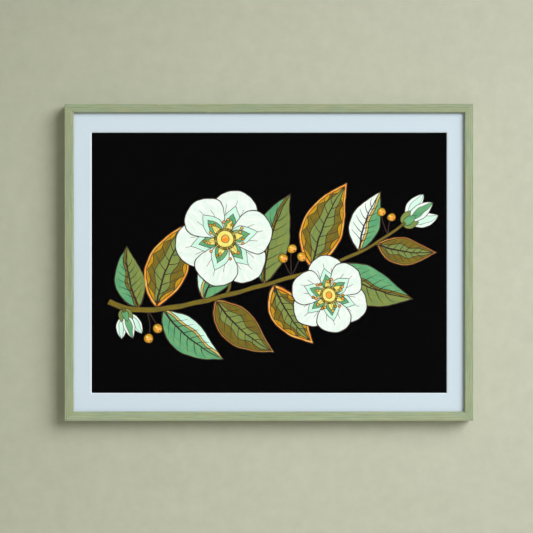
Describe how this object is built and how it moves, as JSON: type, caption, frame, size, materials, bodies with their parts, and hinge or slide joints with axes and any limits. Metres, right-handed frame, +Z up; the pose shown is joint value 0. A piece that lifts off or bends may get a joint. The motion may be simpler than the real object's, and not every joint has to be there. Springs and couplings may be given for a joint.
{
  "type": "framed wall print",
  "caption": "Glazed wooden picture frame with a window mat and a botanical print, hung landscape on a wall by a sawtooth hanger, with a second hanger for portrait.",
  "frame": {"origin": "the point on the wall where its nail carries the top hanger, in the middle tooth gap; the wall is the plane y = 0", "axes": "+X to the right as seen from the front, along the long side; +Y from the front towards the wall; +Z up"},
  "size_m": [0.668, 0.025, 0.518],
  "materials": {
    "stained_wood": "satin",
    "clear_glass": "gloss",
    "mat_board": "matte",
    "print_paper": "matte",
    "print_paint": "matte",
    "grey_board": "matte",
    "hardboard": "matte",
    "dark_steel": "satin",
    "plated_steel": "satin",
    "pale_rubber": "matte"
  },
  "bodies": {
    "root": {"frame_top": "stained_wood", "frame_bottom": "stained_wood", "frame_left": "stained_wood", "frame_right": "stained_wood", "glazing": "clear_glass", "window_mat": "mat_board", "art_print": "print_paper", "mount_board": "grey_board", "backing_board": "hardboard", "tab_top_1": "dark_steel", "tab_top_2": "dark_steel", "tab_top_3": "dark_steel", "tab_top_4": "dark_steel", "tab_bottom_1": "dark_steel", "tab_bottom_2": "dark_steel", "tab_bottom_3": "dark_steel", "tab_bottom_4": "dark_steel", "tab_left_1": "dark_steel", "tab_left_2": "dark_steel", "tab_left_3": "dark_steel", "tab_right_1": "dark_steel", "tab_right_2": "dark_steel", "tab_right_3": "dark_steel", "hanger_top": "plated_steel", "hanger_top_nail_1": "plated_steel", "hanger_top_nail_2": "plated_steel", "hanger_side": "plated_steel", "hanger_side_nail_1": "plated_steel", "hanger_side_nail_2": "plated_steel", "bumper_left": "pale_rubber", "bumper_right": "pale_rubber"}
  },
  "joints": []
}
